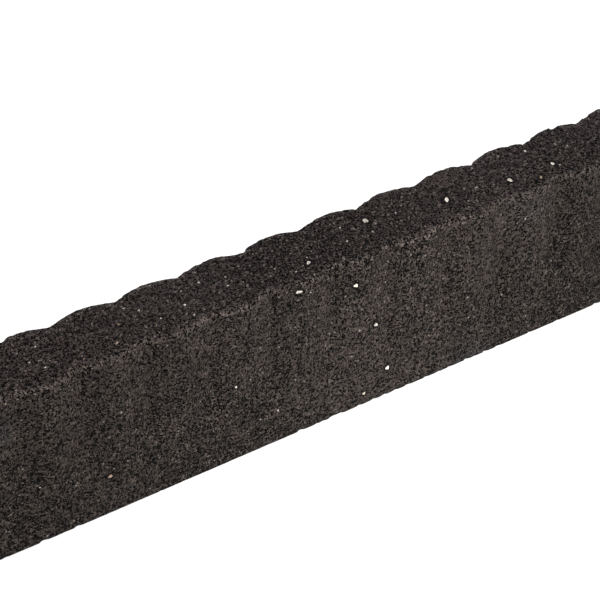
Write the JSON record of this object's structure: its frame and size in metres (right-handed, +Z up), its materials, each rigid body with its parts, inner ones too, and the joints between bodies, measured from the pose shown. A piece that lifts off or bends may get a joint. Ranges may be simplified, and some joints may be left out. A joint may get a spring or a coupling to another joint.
{
  "type": "landscape edging",
  "caption": "Straight scalloped crumb-rubber garden edging with a flat base, counterbored holes with ground spikes, and end sockets with pegs that join sections.",
  "frame": {"origin": "middle of the strip's bottom face, on the ground line", "axes": "+Z up, X along the strip with the joiner pegs at its +X end, front face towards -Y"},
  "size_m": [1.2412, 0.0306, 0.1527],
  "materials": {
    "crumb_rubber": "pressed granules, matt, with a few cream and tan granules",
    "galvanised_steel": "hot-dip galvanised, dull spangle",
    "peg_plastic": "moulded, satin"
  },
  "bodies": {
    "strip": {"edging_strip": "crumb_rubber"},
    "spike_1": {"ground_spike_1": "galvanised_steel"},
    "spike_2": {"ground_spike_2": "galvanised_steel"},
    "spike_3": {"ground_spike_3": "galvanised_steel"},
    "spike_4": {"ground_spike_4": "galvanised_steel"},
    "peg_lower": {"joiner_peg_lower": "peg_plastic"},
    "peg_upper": {"joiner_peg_upper": "peg_plastic"}
  },
  "joints": [
    {"name": "spike_1_slide", "type": "slide", "parent": "strip", "child": "spike_1", "axis": [0, 0, 1], "range_m": [-0.0708, 0.09]},
    {"name": "spike_2_slide", "type": "slide", "parent": "strip", "child": "spike_2", "axis": [0, 0, 1], "range_m": [-0.0708, 0.09]},
    {"name": "spike_3_slide", "type": "slide", "parent": "strip", "child": "spike_3", "axis": [0, 0, 1], "range_m": [-0.0708, 0.09]},
    {"name": "spike_4_slide", "type": "slide", "parent": "strip", "child": "spike_4", "axis": [0, 0, 1], "range_m": [-0.0708, 0.09]},
    {"name": "peg_lower_slide", "type": "slide", "parent": "strip", "child": "peg_lower", "axis": [1, 0, 0], "range_m": [0, 0.025]},
    {"name": "peg_upper_slide", "type": "slide", "parent": "strip", "child": "peg_upper", "axis": [1, 0, 0], "range_m": [0, 0.025]}
  ]
}
